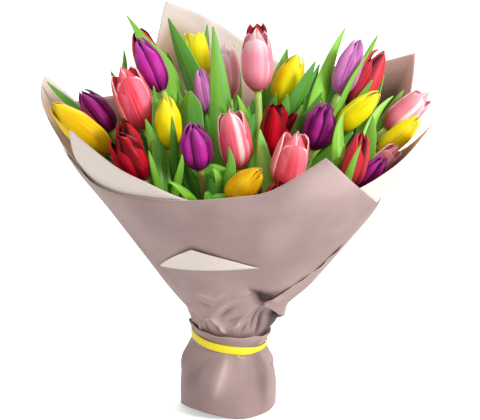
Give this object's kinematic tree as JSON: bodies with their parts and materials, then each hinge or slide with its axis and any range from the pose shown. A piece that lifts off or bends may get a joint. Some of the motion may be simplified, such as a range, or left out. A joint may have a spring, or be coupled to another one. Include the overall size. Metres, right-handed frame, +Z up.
{
  "type": "tulip bouquet",
  "caption": "Hand-tied bouquet of closed tulips with their leaves, wrapped in two-tone florist's paper with a skirt round the stems and tied with a flat ribbon.",
  "frame": {"origin": "on the cut end of the middle stem, on the surface that the bouquet stands on", "axes": "+Z up along the stems, -Y towards the front of the wrap, +X to the right as seen from the front"},
  "size_m": [0.3912, 0.3269, 0.389],
  "materials": {
    "yellow_petals": "satin",
    "purple_petals": "satin",
    "violet_petals": "satin",
    "red_petals": "satin",
    "pink_petals": "satin",
    "stems_and_leaves": "satin",
    "wrapping_paper": "matte",
    "liner_paper": "matte",
    "ribbon": "satin",
    "twine": "matte"
  },
  "bodies": {
    "root": {"back_sheet": "wrapping_paper", "binding_band": "twine", "bloom_01": "yellow_petals", "bloom_02": "purple_petals", "bloom_03": "pink_petals", "bloom_04": "purple_petals", "bloom_05": "red_petals", "bloom_06": "red_petals", "bloom_07": "red_petals", "bloom_08": "yellow_petals", "bloom_09": "yellow_petals", "bloom_10": "violet_petals", "bloom_11": "pink_petals", "bloom_12": "pink_petals", "bloom_13": "red_petals", "bloom_14": "purple_petals", "bloom_15": "pink_petals", "bloom_16": "yellow_petals", "bloom_17": "yellow_petals", "bloom_18": "red_petals", "bloom_19": "pink_petals", "bloom_20": "purple_petals", "bloom_21": "violet_petals", "bloom_22": "red_petals", "bloom_23": "yellow_petals", "bloom_24": "pink_petals", "bloom_25": "yellow_petals", "bloom_26": "red_petals", "bloom_27": "purple_petals", "bloom_28": "pink_petals", "bloom_29": "red_petals", "front_sheet": "wrapping_paper", "leafy_stem_01": "stems_and_leaves", "leafy_stem_02": "stems_and_leaves", "leafy_stem_03_06": "stems_and_leaves", "leafy_stem_04_05": "stems_and_leaves", "leafy_stem_07": "stems_and_leaves", "leafy_stem_08": "stems_and_leaves", "leafy_stem_09": "stems_and_leaves", "leafy_stem_10": "stems_and_leaves", "leafy_stem_11": "stems_and_leaves", "leafy_stem_12_13": "stems_and_leaves", "leafy_stem_14": "stems_and_leaves", "leafy_stem_15": "stems_and_leaves", "leafy_stem_16": "stems_and_leaves", "leafy_stem_17": "stems_and_leaves", "leafy_stem_18": "stems_and_leaves", "leafy_stem_19_29": "stems_and_leaves", "leafy_stem_20": "stems_and_leaves", "leafy_stem_21": "stems_and_leaves", "leafy_stem_22": "stems_and_leaves", "leafy_stem_23": "stems_and_leaves", "leafy_stem_24": "stems_and_leaves", "leafy_stem_25": "stems_and_leaves", "leafy_stem_26": "stems_and_leaves", "leafy_stem_27": "stems_and_leaves", "leafy_stem_28": "stems_and_leaves", "liner_sheet": "liner_paper", "ribbon": "ribbon", "skirt_sheet": "wrapping_paper"}
  },
  "joints": []
}
